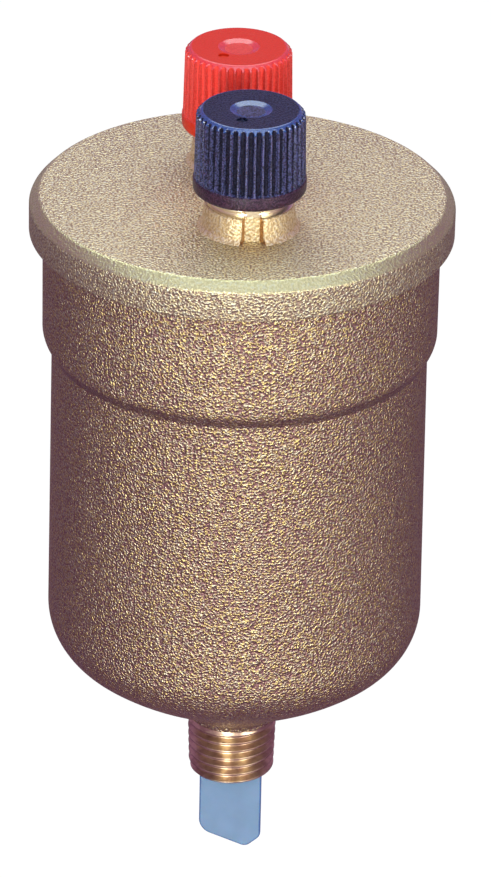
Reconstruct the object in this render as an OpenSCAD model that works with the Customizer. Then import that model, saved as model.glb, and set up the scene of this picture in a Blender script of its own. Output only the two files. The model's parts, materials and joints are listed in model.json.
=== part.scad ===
// Float-type air release valve with a cast brass body, an automatic vent port,
// a manual vent port and a taper pipe thread inlet.
// Millimetres, +Z up. The origin is on the axis at the hand-tight plane of the inlet thread.

/* [Inlet] */
// Mean crest diameter of the inlet pipe thread
thread_d = 13.5; // [12.5:0.1:15]
// Length of the threaded nipple
thread_len = 9.8; // [8:0.1:14]
// Distance from the nipple end to the hand-tight plane
gauge_len = 5.8; // [4:0.1:7]
// Bore through the nipple
inlet_bore_d = 10.2; // [9.8:0.1:10.8]
// Lead-in chamfer on the nipple end
thread_chamfer = 0.7; // [0.3:0.1:1]
// Step from the thread crest out to the cast neck
neck_step = 0.15; // [0.05:0.05:0.4]
// Length of the slightly flared neck above the thread
neck_len = 0.8; // [0.5:0.05:3]
// How much the neck widens in radius up to its cone
neck_flare = 0.2; // [0.05:0.05:0.5]
// Diameter at which the conical neck runs into the dome
cone_d = 28.9; // [20:0.1:32]
// Height of the conical neck
cone_h = 5.75; // [4:0.05:8]

/* [Body] */
// Outside diameter of the body where the dome begins
body_d = 57.4; // [54:0.1:64]
// How much smaller the radius is at the top of the barrel
barrel_taper = 0.4; // [0:0.1:1]
// Length of the barrel between dome and band
barrel_len = 43.8; // [40:0.1:70]
// Knuckle radius of the dome
knuckle_r = 9.5; // [7:0.1:12]
// Crown radius of the dome
crown_r = 40; // [36:0.5:60]
// Wall of the body casting
wall = 3.2; // [2.4:0.1:4]
// How far the band stands out from the barrel
band_step = 1.4; // [0.8:0.1:2.5]
// Height of the band round the mouth, with its sloping underside
band_len = 18.9; // [17:0.1:24]
// Height of the sloping underside of the band
band_slope_h = 2.2; // [1.6:0.1:3]
// Rounding between the underside and the side of the band
band_edge_r = 3; // [1:0.1:3.4]
// Wall of the band at the threaded mouth
mouth_wall = 2.7; // [2:0.1:3.5]
// Depth of the threaded mouth
mouth_depth = 13; // [11:0.1:13.8]

/* [Cover] */
// How far the flange stands out from the band
flange_overhang = 2.05; // [1:0.05:4]
// Height of the flange rim
flange_h = 6; // [5:0.1:9]
// Turned chamfer on the top edge of the flange
flange_chamfer = 1.5; // [0.8:0.1:2.5]
// Rounding of both edges of that chamfer
chamfer_edge_r = 0.6; // [0.2:0.1:0.8]
// Thickness of the cover plate inside the skirt
plate_t = 4; // [3:0.1:4.8]
// Length of the skirt that screws into the mouth
skirt_len = 11.2; // [9:0.1:12]
// Wall of the skirt
skirt_wall = 3.8; // [3.5:0.1:4.5]
// Cord diameter of the cover O-ring
oring_cord_d = 2.4; // [1.8:0.1:2.8]
// Depth of the middle of the O-ring below the flange
oring_depth = 2.6; // [2:0.1:3.5]

/* [Ports] */
// Distance between the axes of the two vent ports
port_pitch = 23; // [21:0.1:26]
// Diameter of a port boss at the cover
boss_base_d = 14; // [13:0.1:15]
// Diameter of a port boss at its top
boss_top_d = 13.2; // [12.4:0.1:14]
// Height of a port boss
boss_h = 3.9; // [3:0.1:6]
// Crest diameter of the threaded stem
stem_d = 13; // [12:0.1:13.1]
// Length of the threaded stem above the boss
stem_len = 9.4; // [8:0.1:12]
// Vent hole through the stem
vent_hole_d = 3; // [2:0.1:4]
// Width of the floor of the vent slot along stem and boss
slot_w = 2.2; // [1.6:0.1:3]
// Angle by which each side of the vent slot leans outwards
slot_lean = 30; // [0:1:45]
// Depth of the vent slot below the crest of the stem thread
slot_depth = 0.8; // [0.4:0.1:1.2]

/* [Caps] */
// Height of a vent cap
cap_h = 12.85; // [11:0.05:13.5]
// Diameter across the rim band of a cap
cap_rim_d = 16.7; // [16:0.1:18]
// Height of the rim band
cap_rim_h = 2.3; // [1.5:0.1:3]
// Rounding under the rim band
cap_rim_r = 0.8; // [0.3:0.1:1.2]
// Step from the rim band in to the ribs
cap_rim_step = 0.15; // [0.05:0.05:0.3]
// How much the ribbed skirt narrows in radius up to the shoulder
cap_draft = 0.2; // [0:0.05:0.4]
// Shoulder between the skirt and the top face, measured along the radius
shoulder_w = 0.8; // [0.6:0.05:1.2]
// Height of the shoulder
shoulder_h = 0.8; // [0.5:0.05:1.2]
// Thickness of the crown of a cap
crown_t = 3.2; // [2:0.1:3.6]
// Number of flutes round a cap
flute_count = 42; // [30:1:44]
// Diameter of a flute
flute_d = 1.05; // [0.9:0.05:1.1]
// Depth of a flute
flute_depth = 0.5; // [0.2:0.01:0.52]
// Diameter of the dished mark in the middle of the crown
dish_d = 6.2; // [4:0.1:7]
// Depth of the dished mark
dish_depth = 0.35; // [0.2:0.05:0.6]
// Width of the sloping wall of the dished mark
dish_slope = 1; // [0.2:0.1:1.4]
// Diameter of the moulding gate mark
gate_d = 1.5; // [0.8:0.1:1.8]
// Distance of the gate mark from the middle of the crown
gate_offset = 4; // [3.9:0.1:5]
// Direction of the gate mark on the automatic port's cap, turned from the front
vent_gate_turn = -23; // [-90:1:90]
// Direction of the gate mark on the manual port's cap, turned from the front
manual_gate_turn = -38; // [-90:1:90]
// Thickness of the sealing disc in a cap
cap_seal_t = 2; // [1.2:0.1:2.4]

/* [Valve] */
// Diameter of the threaded shank of the seat nozzle
shank_d = 7.8; // [7:0.1:8.4]
// Length of the shank inside the cover
shank_len = 7; // [5:0.1:8]
// Width across the flats of the nozzle hexagon
hex_af = 10; // [9:0.1:11]
// Height of the nozzle hexagon
hex_h = 2.6; // [2:0.1:3.5]
// Diameter of the nozzle sleeve below the hexagon
sleeve_d = 7.6; // [7:0.1:8.6]
// Length of the nozzle sleeve
sleeve_len = 2.4; // [1.5:0.1:3]
// Bore of the nozzle that guides the poppet
guide_d = 5.2; // [4.6:0.1:5.6]
// Orifice of the valve seat
orifice_d = 1.6; // [1:0.1:2.2]
// Thickness of the washer under the nozzle bracket
washer_t = 0.8; // [0.5:0.1:1.2]
// Width of the washer ring
washer_w = 1.3; // [1:0.1:1.8]
// Width across corners of the six-sided poppet
poppet_d = 5; // [4.4:0.1:5.4]
// Diameter of the rubber disc in the poppet
poppet_seal_d = 3.6; // [2.8:0.1:3.8]
// Thickness of the rubber disc in the poppet
poppet_seal_t = 1.4; // [1:0.1:1.8]
// Height of the rubber disc above the poppet
poppet_seal_proud = 0.6; // [0.3:0.1:0.9]
// Stock of the poppet below its cross pin
poppet_tail = 1.7; // [1.4:0.1:1.9]
// Diameter of the poppet cross pin
poppet_pin_d = 1.8; // [1.4:0.1:2]

/* [Lever] */
// Distance from the lever pivot to the poppet
poppet_arm = 4.6; // [4:0.1:5]
// Angle that the lever swings through
lever_swing = 13; // [8:0.5:16]
// Depth of the lever pivot below the cover plate
pivot_depth = 11; // [10.6:0.1:13]
// Height of the lever channel
lever_h = 4.6; // [4.2:0.1:5]
// Sheet thickness of the lever
lever_t = 0.9; // [0.7:0.05:1.2]
// Sheet thickness of the bracket
bracket_t = 1; // [0.8:0.05:1.2]
// Half length of a bracket ear along the lever
ear_half = 2.8; // [2.4:0.1:3.2]
// Diameter of the pivot pin and of the hanger pin
pin_d = 2.4; // [2:0.1:2.8]
// Diameter of the heads on the pins
pin_head_d = 4; // [3.6:0.1:4.6]
// Thickness of the heads on the pins
pin_head_t = 0.8; // [0.5:0.1:1.2]
// Thickness of the spring clip on the pivot pin
clip_t = 0.6; // [0.4:0.05:0.9]
// Depth of the groove that the spring clip snaps into
clip_bite = 0.35; // [0.2:0.05:0.5]
// Gap in the ring of the spring clip
clip_gap = 1.6; // [1:0.1:2]

/* [Float] */
// Gap all round between the float and the chamber
float_gap = 3.6; // [3:0.1:5]
// Wall of the moulded float
float_wall = 1.6; // [1:0.1:2.4]
// Corner radius at the bottom of the float
float_corner_r = 8; // [6:0.1:10]
// Corner radius at the rim of the float lid
lid_edge_r = 1.2; // [0.5:0.1:1.8]
// Thickness of the float lid
lid_t = 2; // [1.9:0.1:3]
// Depth of the lid spigot inside the float cup
spigot_len = 3; // [2:0.1:5]
// Height of the hanger pin above the float lid
hanger_h = 5.6; // [5:0.1:7]
// Thickness of a hanger ear on the lid
hanger_t = 2; // [1.4:0.1:2.6]
// Half length of a hanger ear
hanger_half = 2.6; // [2.2:0.1:3.2]
// Clearance between the float at rest and the tongue head
float_floor_gap = 2; // [1:0.1:4]

/* [Tongue] */
// Width of the drain tongue
tongue_w = 9.7; // [8:0.1:9.7]
// Thickness of the drain tongue
tongue_t = 1; // [0.6:0.1:1.4]
// Drop of the tongue tip below the nipple end
tongue_drop = 14.6; // [8:0.1:20]
// Rise of the slanting end up to the left side
tongue_rise_left = 2.7; // [1:0.1:5]
// Rise of the short bevel up to the right side
tongue_rise_right = 2; // [1:0.1:4]
// Distance of the tip from the middle of the tongue
tongue_tip_offset = 2.6; // [-2:0.1:3]
// Corner radius of the tongue end, at the tip and on the right
tongue_corner_r = 1.3; // [0.5:0.1:1.6]
// Larger corner radius on the left of the tongue end
tongue_left_r = 2.4; // [1:0.1:3]
// Width of the head that rests on the chamber floor
tongue_head_w = 14; // [12.5:0.1:16]
// Height of the head of the tongue
tongue_head_h = 2.2; // [1.5:0.1:3]
// Direction that the face of the tongue is turned to
tongue_turn = -10; // [-45:1:45]

/* [Fits] */
// Radial clearance of threads and of parts that are screwed together
screw_gap = 0.1; // [0.05:0.01:0.2]
// Clearance of parts that are pressed or clamped in place
seat_gap = 0.03; // [0.01:0.01:0.06]
// Radial clearance of a pin in a hole that turns on it
pin_gap = 0.08; // [0.04:0.01:0.1]
// Radial clearance of a pin that also slides a little in its hole
link_gap = 0.2; // [0.15:0.01:0.3]
// Clearance between parts that slide or swing past each other
side_gap = 0.3; // [0.2:0.05:0.5]

/* [Hidden] */
$fn = 96;
// Small overlap that lets one solid run into another
eps = 0.01;

// Radii of the castings
thread_r = thread_d / 2;
neck_r = thread_r + neck_step;
body_r = body_d / 2;
barrel_top_r = body_r - barrel_taper;
chamber_r = barrel_top_r - wall;
band_r = barrel_top_r + band_step;
mouth_r = band_r - mouth_wall;
cover_r = band_r + flange_overhang;
skirt_r = mouth_r - screw_gap;
skirt_in_r = skirt_r - skirt_wall;

// Heights, from the nipple end up
nipple_z = -gauge_len;
thread_z = nipple_z + thread_len;
neck_z = thread_z + neck_len;
cone_r = cone_d / 2;
cone_z = neck_z + cone_h;
crown_z = cone_z + sqrt(crown_r * crown_r - cone_r * cone_r);
dome_z = crown_z - sqrt(pow(crown_r - knuckle_r, 2) - pow(body_r - knuckle_r, 2));
dome_angle = atan2(dome_z - crown_z, body_r - knuckle_r);
cone_angle = asin(cone_r / crown_r) - 90;
band_z = dome_z + barrel_len;
seam_z = band_z + band_len;
mouth_z = seam_z - mouth_depth;
cover_z = seam_z + flange_h;
under_z = cover_z - plate_t;

// Ports and caps, seen from a port's own axis
port_y = port_pitch / 2;
boss_z = cover_z + boss_h;
stem_r = stem_d / 2;
stem_z = boss_z + stem_len;
cap_bore_r = stem_r + screw_gap;
cap_seal_z = stem_z + seat_gap;
cap_roof_z = cap_seal_z + cap_seal_t + seat_gap;
cap_top_z = cap_roof_z + crown_t;
cap_z = cap_top_z - cap_h;
cap_rim_rad = cap_rim_d / 2;
rib_r = cap_rim_rad - cap_rim_step;
shoulder_r = rib_r - cap_draft;

// Valve stack under the cover plate
nozzle_z = under_z - washer_t - bracket_t - 2 * seat_gap;
sleeve_z = nozzle_z - hex_h - sleeve_len;
shank_r = shank_d / 2;
shank_top_z = nozzle_z + washer_t + bracket_t + shank_len;
seat_z = nozzle_z - hex_h / 2;

// Lever geometry at rest, with the float hanging low and the vent open
float_arm = port_y + poppet_arm;
pivot_y = -float_arm;
pivot_z = under_z - pivot_depth;
rest_tilt = -lever_swing / 2;
poppet_lift = 2 * poppet_arm * sin(lever_swing / 2);
poppet_pin_z = pivot_z + poppet_arm * sin(rest_tilt);
hanger_y = pivot_y + float_arm * cos(rest_tilt);
hanger_z = pivot_z + float_arm * sin(rest_tilt);
pin_r = pin_d / 2;
ear_in = hex_af / 2 + side_gap;
ear_out = ear_in + bracket_t;
cheek_out = ear_in - side_gap;
cheek_in = cheek_out - lever_t;
hanger_in = cheek_out + side_gap;
hanger_out = hanger_in + hanger_t;
poppet_top_z = seat_z - seat_gap - poppet_lift - poppet_seal_proud;

// Tongue and float
inner_crown_r = crown_r - wall;
head_half = tongue_head_w / 2;
head_corner = norm([head_half, tongue_t / 2]);
head_z = crown_z - sqrt(inner_crown_r * inner_crown_r - head_corner * head_corner) + seat_gap;
float_r = chamber_r - float_gap;
lid_z = hanger_z - hanger_h;
float_z = head_z + tongue_head_h + float_floor_gap;

// Points on an arc from one angle to another
function arc(centre, r, from, to, steps = 12) =
    [for (i = [0:steps]) let (a = from + (to - from) * i / steps) centre + r * [cos(a), sin(a)]];

// Unit vector between two points
function heading(from, to) = (to - from) / norm(to - from);

// Corner of an outline, rounded to radius r
function rounded(before, corner, after, r, steps = 8) =
    let (
        u = heading(corner, before),
        v = heading(corner, after),
        half = acos(u * v) / 2,
        centre = corner + heading([0, 0], u + v) * r / sin(half),
        p = corner + u * r / tan(half) - centre,
        q = corner + v * r / tan(half) - centre,
        from = atan2(p.y, p.x),
        turn = atan2(p.x * q.y - p.y * q.x, p * q)
    )
    arc(centre, r, from, from + turn, steps);

// Ring with a square section
module ring(r_out, r_in, h) {
    difference() {
        cylinder(r = r_out, h = h);
        translate([0, 0, -eps]) cylinder(r = r_in, h = h + 2 * eps);
    }
}

// Round bar along X, centred on the middle plane
module cross_bar(r, length) {
    rotate([0, 90, 0]) cylinder(r = r, h = length, center = true);
}

// Plate in the YZ plane from an outline, between two X values
module upright(x_from, x_to) {
    translate([x_from, 0, 0]) rotate([90, 0, 90]) linear_extrude(height = x_to - x_from) children();
}

// Both sides of a pair that is mirrored across the middle plane
module both_sides() {
    children();
    mirror([1, 0, 0]) children();
}

// Cast body: nipple, conical neck, dome, barrel and the band round the threaded mouth
module body() {
    inner_knuckle_r = knuckle_r - wall;
    bore_r = inlet_bore_d / 2;
    inner_angle = asin(bore_r / inner_crown_r) - 90;
    under_foot = [barrel_top_r, band_z];
    under_edge = [band_r, band_z + band_slope_h];
    outside = concat(
        [[bore_r, nipple_z], [thread_r - thread_chamfer, nipple_z], [thread_r, nipple_z + thread_chamfer]],
        [[thread_r, thread_z], [neck_r, thread_z + neck_step], [neck_r + neck_flare, neck_z]],
        arc([0, crown_z], crown_r, cone_angle, dome_angle),
        arc([body_r - knuckle_r, dome_z], knuckle_r, dome_angle, 0),
        [under_foot],
        rounded(under_foot, under_edge, [band_r, seam_z], band_edge_r),
        [[band_r, seam_z], [mouth_r, seam_z]]
    );
    inside = concat(
        [[mouth_r, mouth_z], [chamber_r, mouth_z - (mouth_r - chamber_r)]],
        arc([body_r - knuckle_r, dome_z], inner_knuckle_r, 0, dome_angle),
        arc([0, crown_z], inner_crown_r, dome_angle, inner_angle)
    );
    color("darkgoldenrod") rotate_extrude() polygon(concat(outside, inside));
}

// Boss and threaded stem of one vent port, on the port's own axis
module port_post() {
    translate([0, 0, cover_z - eps]) cylinder(d1 = boss_base_d, d2 = boss_top_d, h = boss_h + eps);
    translate([0, 0, boss_z - eps]) cylinder(d = stem_d, h = stem_len + eps);
}

// Vent slot down the outer side of a port, as a cutter
module port_slot() {
    floor_y = slot_depth - stem_r;
    floor_half = slot_w / 2;
    mouth_y = floor_y - boss_base_d;
    mouth_half = floor_half + boss_base_d * tan(slot_lean);
    outline = [
        [-floor_half, floor_y], [floor_half, floor_y], [mouth_half, mouth_y], [-mouth_half, mouth_y]
    ];
    translate([0, 0, cover_z]) linear_extrude(height = boss_h + stem_len + eps) polygon(outline);
}

// Screwed cover: flange, plate, skirt with O-ring groove, and the two port posts
module cover() {
    groove_r = skirt_r - oring_cord_d - seat_gap;
    groove_half = oring_cord_d / 2 + seat_gap;
    groove_z = seam_z - oring_depth;
    chamfer_in = [cover_r - flange_chamfer, cover_z];
    chamfer_out = [cover_r, cover_z - flange_chamfer];
    rim = concat(
        [[0, cover_z]],
        rounded([0, cover_z], chamfer_in, chamfer_out, chamfer_edge_r),
        rounded(chamfer_in, chamfer_out, [cover_r, seam_z], chamfer_edge_r),
        [[cover_r, seam_z], [skirt_r, seam_z]]
    );
    skirt = [
        [skirt_r, groove_z + groove_half], [groove_r, groove_z + groove_half],
        [groove_r, groove_z - groove_half], [skirt_r, groove_z - groove_half],
        [skirt_r, seam_z - skirt_len], [skirt_in_r, seam_z - skirt_len], [skirt_in_r, under_z], [0, under_z]
    ];
    color("goldenrod") difference() {
        union() {
            rotate_extrude() polygon(concat(rim, skirt));
            for (turn = [0, 180]) rotate([0, 0, turn]) translate([0, -port_y, 0]) port_post();
        }
        for (turn = [0, 180]) rotate([0, 0, turn]) translate([0, -port_y, 0]) {
            port_slot();
            translate([0, 0, under_z - eps]) cylinder(d = vent_hole_d, h = stem_z - under_z + 2 * eps);
        }
        translate([0, -port_y, under_z - eps])
            cylinder(r = shank_r + screw_gap, h = shank_top_z - under_z + screw_gap + eps);
    }
}

// O-ring that seals the skirt in the mouth
module cover_oring() {
    cord_r = oring_cord_d / 2;
    color("black") translate([0, 0, seam_z - oring_depth])
        rotate_extrude() translate([skirt_r - cord_r, 0]) circle(r = cord_r);
}

// Fluted screw cap on its own axis
module fluted_cap(gate_turn) {
    rim_z = cap_z + cap_rim_h;
    shoulder_z = cap_top_z - shoulder_h;
    flute_axis_r = rib_r + flute_d / 2 - flute_depth;
    shell = concat(
        [[0, cap_top_z], [shoulder_r - shoulder_w, cap_top_z], [shoulder_r, shoulder_z], [rib_r, rim_z]],
        [[cap_rim_rad, rim_z - cap_rim_step]],
        arc([cap_rim_rad - cap_rim_r, cap_z + cap_rim_r], cap_rim_r, 0, -90),
        [[cap_bore_r, cap_z], [cap_bore_r, cap_roof_z], [0, cap_roof_z]]
    );
    difference() {
        rotate_extrude() polygon(shell);
        for (i = [0:flute_count - 1]) rotate([0, 0, 360 * i / flute_count])
            translate([flute_axis_r, 0, rim_z + flute_d / 2]) {
                cylinder(d = flute_d, h = cap_h, $fn = 24);
                sphere(d = flute_d, $fn = 24);
            }
        translate([0, 0, cap_top_z - dish_depth])
            cylinder(d1 = dish_d - 2 * dish_slope, d2 = dish_d, h = dish_depth + eps);
        rotate([0, 0, gate_turn]) translate([0, -gate_offset, cap_top_z - dish_depth])
            cylinder(d = gate_d, h = dish_depth + eps, $fn = 32);
    }
}

// Rubber disc that closes a stem, on its own axis
module cap_disc() {
    translate([0, 0, cap_seal_z]) cylinder(r = stem_r, h = cap_seal_t);
}

// Cap of the automatic port
module vent_cap() {
    color("midnightblue") translate([0, -port_y, 0]) fluted_cap(vent_gate_turn);
}

// Sealing disc of the automatic port's cap
module vent_cap_seal() {
    color("black") translate([0, -port_y, 0]) cap_disc();
}

// Cap of the manual port
module manual_cap() {
    color("red") translate([0, port_y, 0]) fluted_cap(manual_gate_turn);
}

// Sealing disc of the manual port's cap
module manual_cap_seal() {
    color("black") translate([0, port_y, 0]) cap_disc();
}

// Nozzle screwed into the cover from below, with the valve seat and the poppet guide
module seat_nozzle() {
    corner_d = hex_af / cos(30);
    color("gold") translate([0, -port_y, 0]) difference() {
        union() {
            translate([0, 0, nozzle_z - eps]) cylinder(r = shank_r, h = shank_top_z - nozzle_z + eps);
            translate([0, 0, nozzle_z - hex_h]) rotate([0, 0, 30]) cylinder(d = corner_d, h = hex_h, $fn = 6);
            translate([0, 0, sleeve_z]) cylinder(d = sleeve_d, h = sleeve_len + eps);
        }
        translate([0, 0, sleeve_z - eps]) cylinder(d = guide_d, h = seat_z - sleeve_z + eps);
        translate([0, 0, seat_z - eps]) cylinder(d = orifice_d, h = shank_top_z - seat_z + 2 * eps);
    }
}

// Sealing washer between the bracket and the cover plate
module nozzle_washer() {
    hole_r = shank_r + screw_gap;
    color("firebrick") translate([0, -port_y, under_z - seat_gap - washer_t])
        ring(hole_r + washer_w, hole_r, washer_t);
}

// Sheet bracket clamped under the nozzle, with two ears for the pivot pin
module lever_bracket() {
    plate_z = nozzle_z + seat_gap;
    tab = hex_af / 2;
    ear = [
        [pivot_y - ear_half, plate_z + bracket_t], [pivot_y - ear_half, pivot_z],
        [pivot_y + ear_half, pivot_z], [pivot_y + ear_half, plate_z + bracket_t]
    ];
    color("silver") difference() {
        union() {
            translate([-ear_out, pivot_y - ear_half, plate_z])
                cube([2 * ear_out, poppet_arm + ear_half + tab, bracket_t]);
            both_sides() upright(ear_in, ear_out) {
                polygon(ear);
                translate([pivot_y, pivot_z]) circle(r = ear_half);
            }
        }
        translate([0, -port_y, plate_z - eps]) cylinder(r = shank_r + screw_gap, h = bracket_t + 2 * eps);
        translate([0, pivot_y, pivot_z]) cross_bar(pin_r + seat_gap, 4 * ear_out);
    }
}

// Pivot pin of the lever, headed on one side and grooved for a clip on the other
module pivot_pin() {
    reach = ear_out + 2 * (clip_t + seat_gap);
    head_x = -ear_out - seat_gap;
    color("gainsboro") translate([0, pivot_y, pivot_z]) rotate([0, 90, 0]) difference() {
        union() {
            translate([0, 0, head_x - eps]) cylinder(r = pin_r, h = reach - head_x + eps);
            translate([0, 0, head_x - pin_head_t]) cylinder(d = pin_head_d, h = pin_head_t);
        }
        translate([0, 0, ear_out]) ring(pin_head_d, pin_r - clip_bite, clip_t + 2 * seat_gap);
    }
}

// Open spring clip that keeps the pivot pin in its ears
module pivot_clip() {
    color("dimgray") translate([ear_out + seat_gap, pivot_y, pivot_z]) rotate([0, 90, 0]) difference() {
        ring(pin_head_d / 2, pin_r - clip_bite + seat_gap, clip_t);
        translate([-clip_gap / 2, 0, -eps]) cube([clip_gap, pin_head_d, clip_t + 2 * eps]);
    }
}

// Stamped channel lever between pivot, poppet and float, drawn level and then tilted to rest
module float_lever() {
    half = lever_h / 2;
    window = poppet_d + 2 * side_gap;
    color("lightsteelblue") translate([0, pivot_y, pivot_z]) rotate([rest_tilt, 0, 0]) difference() {
        union() {
            both_sides() upright(cheek_in, cheek_out) {
                translate([0, -half]) square([float_arm, lever_h]);
                circle(r = half);
                translate([float_arm, 0]) circle(r = half);
            }
            translate([-cheek_out, 0, -half]) cube([2 * cheek_out, float_arm, lever_t]);
        }
        translate([-window / 2, poppet_arm - window / 2, -half - eps])
            cube([window, window, lever_t + 2 * eps]);
        cross_bar(pin_r + pin_gap, 4 * cheek_out);
        translate([0, poppet_arm, 0]) cross_bar(poppet_pin_d / 2 + link_gap, 4 * cheek_out);
        translate([0, float_arm, 0]) cross_bar(pin_r + link_gap, 4 * cheek_out);
    }
}

// Six-sided poppet that closes the orifice, hung on the lever by its cross pin
module poppet() {
    low_z = poppet_pin_z - poppet_tail;
    recess = poppet_seal_t - poppet_seal_proud;
    color("khaki") translate([0, -port_y, 0]) difference() {
        translate([0, 0, low_z]) cylinder(d = poppet_d, h = poppet_top_z - low_z, $fn = 6);
        translate([0, 0, poppet_top_z - recess - seat_gap])
            cylinder(d = poppet_seal_d + 2 * seat_gap, h = recess + seat_gap + eps);
        translate([0, 0, poppet_pin_z]) cross_bar(poppet_pin_d / 2 + seat_gap, 2 * poppet_d);
    }
}

// Rubber disc in the top of the poppet
module poppet_seal() {
    recess = poppet_seal_t - poppet_seal_proud;
    color("black") translate([0, -port_y, poppet_top_z - recess])
        cylinder(d = poppet_seal_d, h = poppet_seal_t);
}

// Cross pin that hangs the poppet in the lever
module poppet_pin() {
    color("gainsboro") translate([0, -port_y, poppet_pin_z]) cross_bar(poppet_pin_d / 2, 2 * cheek_out);
}

// Moulded float cup, closed at the bottom
module float_cup() {
    top_z = lid_z - lid_t;
    inner_r = float_r - float_wall;
    inner_corner_r = float_corner_r - float_wall;
    centre = [float_r - float_corner_r, float_z + float_corner_r];
    outline = concat(
        [[0, float_z]],
        arc(centre, float_corner_r, -90, 0),
        [[float_r, top_z], [inner_r, top_z]],
        arc(centre, inner_corner_r, 0, -90),
        [[0, float_z + float_wall]]
    );
    color("ivory") rotate_extrude() polygon(outline);
}

// Float lid welded on the cup, with the two ears for the hanger pin
module float_lid() {
    low_z = lid_z - lid_t;
    spigot_r = float_r - float_wall - seat_gap;
    edge = [float_r - lid_edge_r, lid_z - lid_edge_r];
    outline = concat(
        [[0, lid_z]],
        arc(edge, lid_edge_r, 90, 0),
        [[float_r, low_z + seat_gap], [spigot_r, low_z + seat_gap], [spigot_r, low_z - spigot_len]],
        [[spigot_r - float_wall, low_z - spigot_len], [spigot_r - float_wall, low_z + seat_gap]],
        [[0, low_z + seat_gap]]
    );
    color("ivory") difference() {
        union() {
            rotate_extrude() polygon(outline);
            both_sides() upright(hanger_in, hanger_out) {
                translate([hanger_y - hanger_half, lid_z - eps]) square([2 * hanger_half, hanger_h + eps]);
                translate([hanger_y, hanger_z]) circle(r = hanger_half);
            }
        }
        translate([0, hanger_y, hanger_z]) cross_bar(pin_r + seat_gap, 4 * hanger_out);
    }
}

// Pin that hangs the float on the lever
module hanger_pin() {
    reach = hanger_out + seat_gap;
    color("gainsboro") translate([0, hanger_y, hanger_z]) {
        cross_bar(pin_r, 2 * reach);
        both_sides() translate([reach - eps, 0, 0]) rotate([0, 90, 0])
            cylinder(d = pin_head_d, h = pin_head_t);
    }
}

// Flat tongue that hangs through the inlet by its head and leads water out of it
module drain_tongue() {
    half = tongue_w / 2;
    top_z = head_z + tongue_head_h;
    tip_z = nipple_z - tongue_drop;
    left = [-half, tip_z + tongue_rise_left];
    tip = [tongue_tip_offset, tip_z];
    right = [half, tip_z + tongue_rise_right];
    left_top = [-half, head_z];
    right_top = [half, head_z];
    outline = concat(
        [left_top],
        rounded(left_top, left, tip, tongue_left_r),
        rounded(left, tip, right, tongue_corner_r),
        rounded(tip, right, right_top, tongue_corner_r),
        [right_top, [head_half, head_z], [head_half, top_z], [-head_half, top_z], [-head_half, head_z]]
    );
    color("lightsteelblue") rotate([0, 0, tongue_turn]) translate([0, tongue_t / 2, 0]) rotate([90, 0, 0])
        linear_extrude(height = tongue_t) polygon(outline);
}

body();
cover();
cover_oring();
vent_cap();
vent_cap_seal();
manual_cap();
manual_cap_seal();
seat_nozzle();
nozzle_washer();
lever_bracket();
pivot_pin();
pivot_clip();
float_lever();
poppet();
poppet_seal();
poppet_pin();
float_cup();
float_lid();
hanger_pin();
drain_tongue();
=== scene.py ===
# %% [markdown]
# # A brass air release valve
# The valve is a cast float chamber with a screwed cover, two fluted caps and a threaded inlet.
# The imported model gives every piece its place. This script gives each piece that shows a finer
# mesh and a finish, and it leaves the hidden mechanism as it is, with a finish of its own.

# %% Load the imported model
import json
import math

import bmesh
import bpy
from mathutils import Matrix, Vector


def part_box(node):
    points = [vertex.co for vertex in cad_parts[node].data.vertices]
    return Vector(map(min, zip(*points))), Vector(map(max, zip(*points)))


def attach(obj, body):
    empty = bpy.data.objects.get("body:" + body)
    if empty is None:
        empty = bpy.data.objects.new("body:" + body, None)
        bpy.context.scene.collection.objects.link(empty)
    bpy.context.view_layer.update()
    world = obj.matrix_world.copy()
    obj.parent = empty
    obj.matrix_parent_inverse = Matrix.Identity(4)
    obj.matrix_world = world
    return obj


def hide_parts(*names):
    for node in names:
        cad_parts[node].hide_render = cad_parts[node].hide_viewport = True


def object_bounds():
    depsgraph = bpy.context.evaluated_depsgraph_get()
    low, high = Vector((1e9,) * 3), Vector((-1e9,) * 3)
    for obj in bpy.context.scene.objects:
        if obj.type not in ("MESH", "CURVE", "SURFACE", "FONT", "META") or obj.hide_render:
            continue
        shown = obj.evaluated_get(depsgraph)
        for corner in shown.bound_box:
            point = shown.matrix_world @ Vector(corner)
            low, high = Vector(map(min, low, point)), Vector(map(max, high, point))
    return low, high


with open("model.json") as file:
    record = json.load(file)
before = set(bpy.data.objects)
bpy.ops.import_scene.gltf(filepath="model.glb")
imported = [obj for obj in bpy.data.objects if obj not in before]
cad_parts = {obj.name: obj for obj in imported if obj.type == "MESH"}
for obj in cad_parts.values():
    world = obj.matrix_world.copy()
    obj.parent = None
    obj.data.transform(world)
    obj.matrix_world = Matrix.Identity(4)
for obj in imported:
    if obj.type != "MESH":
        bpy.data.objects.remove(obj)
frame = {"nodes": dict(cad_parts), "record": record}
cad_low, cad_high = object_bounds()
MM = 0.001
FULL_TURN = 2 * math.pi
print("nodes:", len(frame["nodes"]), "box in mm:", [round(x / MM, 1) for x in cad_high - cad_low])

# %% [markdown]
# ## Camera
# The photograph looks down on the cover from a little over a quarter of the way up, through a long
# lens. A long lens far away keeps the barrel's sides nearly parallel. The frame is moved with the
# lens shift, as on a view camera, so that the valve sits where the photograph has it.

# %% Camera
PHOTO_W = 491
PHOTO_H = 878
AZIMUTH = math.radians(-5)
ELEVATION = math.radians(27.4)
ROLL = math.radians(1.17)
DISTANCE = 845 * MM
AIM = Vector((0, 0, 49.2 * MM))
AIM_PIXEL_X = 237.3
AIM_PIXEL_Y = 452.9
FOCAL_PIXELS = 5552


def direction(azimuth, elevation):
    """Unit vector from the valve towards a place round it; azimuth 0 is in front, on the -Y side."""
    level = math.cos(elevation)
    return Vector((math.sin(azimuth) * level, -math.cos(azimuth) * level, math.sin(elevation)))


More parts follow.
